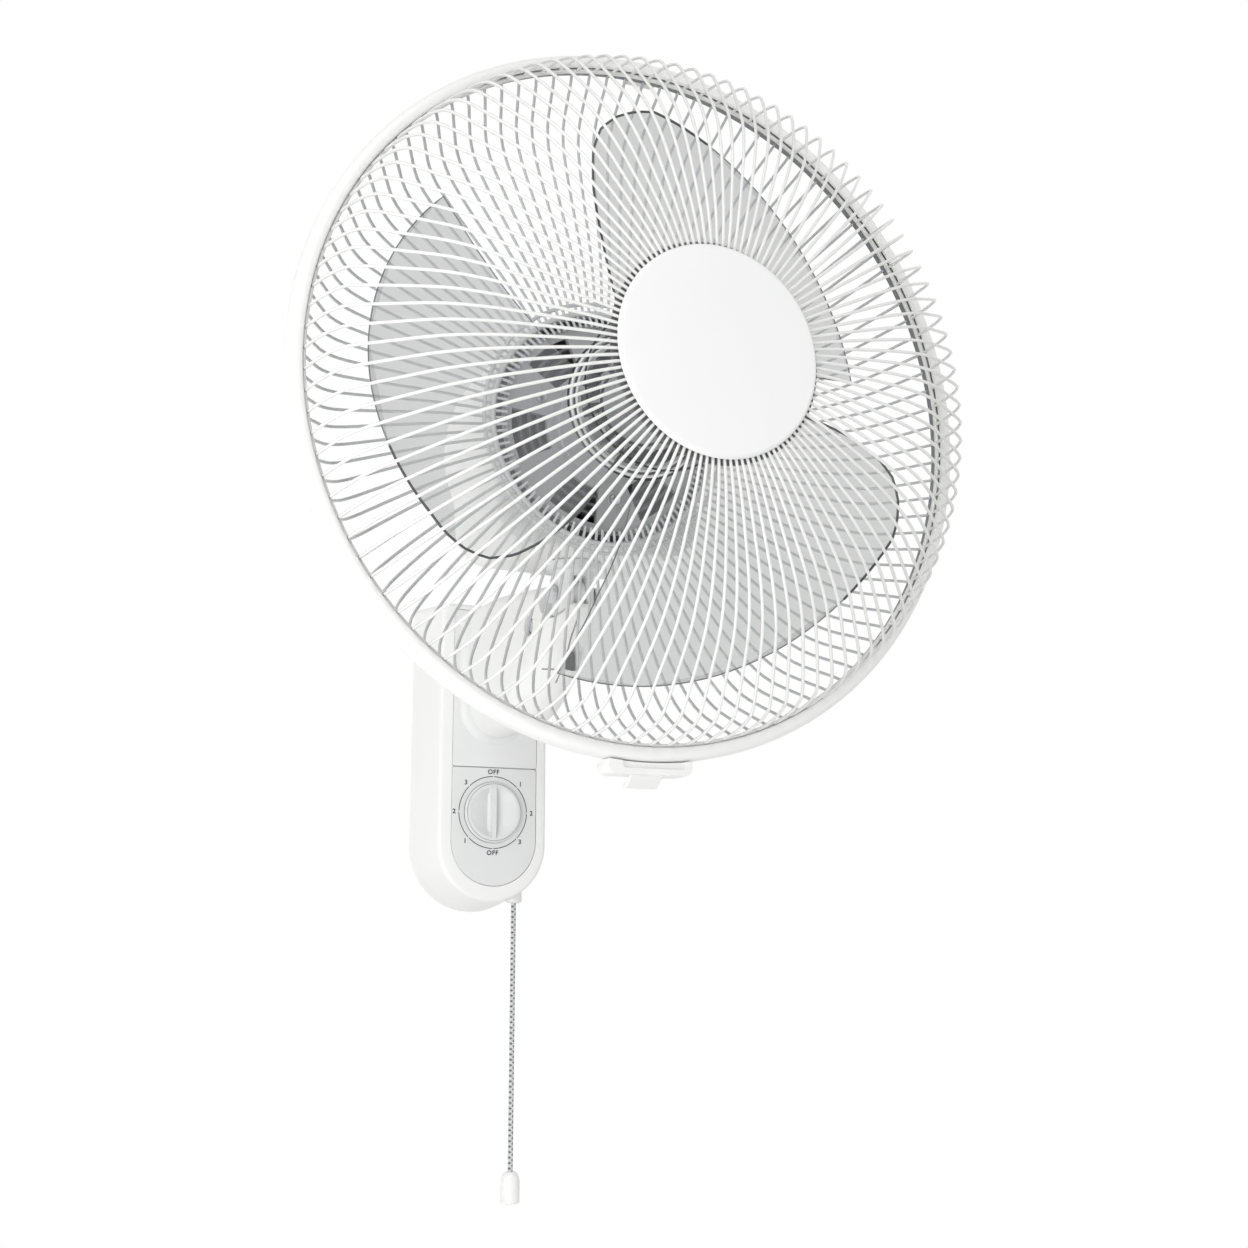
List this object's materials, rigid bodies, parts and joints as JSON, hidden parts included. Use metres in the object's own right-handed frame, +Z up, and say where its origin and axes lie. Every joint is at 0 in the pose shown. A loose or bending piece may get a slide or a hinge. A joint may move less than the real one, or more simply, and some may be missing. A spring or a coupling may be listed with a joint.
{
  "type": "wall mounted fan",
  "caption": "Wall fan with a round wire guard, twisted blades and a tilting, swinging motor head on an arm, with a rotary speed knob and a pull cord.",
  "frame": {"origin": "middle of the back of the wall plate, in the plane of the wall", "axes": "+Z up, -Y out of the wall toward the front guard, +X to the right seen from the front"},
  "size_m": [0.3704, 0.342, 0.6127],
  "materials": {
    "white_plastic": "satin",
    "pale_grey_plastic": "satin",
    "grey_plastic": "satin",
    "dark_plastic": "matte",
    "blade_plastic": "translucent gloss",
    "coated_wire": "gloss coat",
    "grey_wire": "gloss coat",
    "plate_paint": "satin",
    "steel": "plated",
    "bronze": "plain",
    "grey_braid": "braided"
  },
  "bodies": {
    "base": {"wall_plate": "steel", "base_housing": "white_plastic", "fascia_strip": "pale_grey_plastic", "control_plate": "pale_grey_plastic", "rotary_switch": "dark_plastic", "arm": "white_plastic", "cord_bush": "white_plastic", "capacitor": "dark_plastic", "terminal_block": "pale_grey_plastic"},
    "speed": {"speed_knob": "pale_grey_plastic", "switch_shaft": "steel"},
    "cord": {"pull_lever": "dark_plastic", "pull_cord": "grey_braid", "cord_pull": "white_plastic"},
    "neck": {"neck_yoke": "grey_plastic", "tilt_bolt": "steel", "tilt_nut": "steel", "spindle_lever": "steel", "spindle_screw": "steel"},
    "head": {"motor_cover": "white_plastic", "motor_plate": "plate_paint", "motor_bell": "steel", "stator": "bronze", "gear_frame": "steel", "front_bush": "bronze", "rear_bush": "bronze", "rear_guard": "grey_wire", "top_hook": "white_plastic", "hinge_pin": "steel", "latch_seat": "white_plastic", "latch_pin": "steel"},
    "clutch": {"clutch_knob": "white_plastic"},
    "crank": {"crank_gear": "bronze"},
    "link": {"drive_link": "steel"},
    "rotor": {"motor_shaft": "steel", "rotor_core": "steel", "fan_blade": "blade_plastic", "spinner_nut": "grey_plastic"},
    "guard": {"front_guard": "coated_wire", "front_rim": "white_plastic", "guard_cap": "white_plastic", "cap_clamp": "grey_plastic"},
    "latch": {"guard_latch": "white_plastic"}
  },
  "joints": [
    {"name": "speed_turn", "type": "hinge", "parent": "base", "child": "speed", "pos_m": [0, -0.04, -0.0352], "axis": [0, -1, 0], "continuous": true},
    {"name": "cord_pull_slide", "type": "slide", "parent": "base", "child": "cord", "axis": [0, 0, -1], "range_m": [0, 0.02], "stiffness_N_per_m": 150, "springref_m": -0.01},
    {"name": "tilt", "type": "hinge", "parent": "base", "child": "neck", "pos_m": [0, -0.1645, 0.0767], "axis": [1, 0, 0], "range_deg": [-5, 25]},
    {"name": "swing", "type": "hinge", "parent": "neck", "child": "head", "pos_m": [0, -0.1645, 0.0948], "axis": [0, 0, 1], "range_deg": [-35, 35]},
    {"name": "clutch_lift", "type": "slide", "parent": "head", "child": "clutch", "axis": [0, 0, 1], "range_m": [0, 0.008]},
    {"name": "rotor_spin", "type": "hinge", "parent": "head", "child": "rotor", "pos_m": [0, -0.2638, 0.1608], "axis": [0, -1, 0], "continuous": true},
    {"name": "crank_turn", "type": "hinge", "parent": "head", "child": "crank", "pos_m": [0.02, -0.1505, 0.1608], "axis": [0, 0, 1], "continuous": true},
    {"name": "link_turn", "type": "hinge", "parent": "crank", "child": "link", "pos_m": [0.02, -0.1585, 0.1024], "axis": [0, 0, 1], "continuous": true},
    {"name": "guard_open", "type": "hinge", "parent": "head", "child": "guard", "pos_m": [0, -0.2529, 0.3443], "axis": [1, 0, 0], "range_deg": [-70, 0]},
    {"name": "latch_open", "type": "hinge", "parent": "head", "child": "latch", "pos_m": [0, -0.2529, -0.0227], "axis": [1, 0, 0], "range_deg": [0, 60]}
  ],
  "couplings": [
    {"joint": "crank_turn", "follows": "rotor_spin", "ratio": 0.025},
    {"joint": "link_turn", "follows": "rotor_spin", "ratio": -0.025}
  ]
}
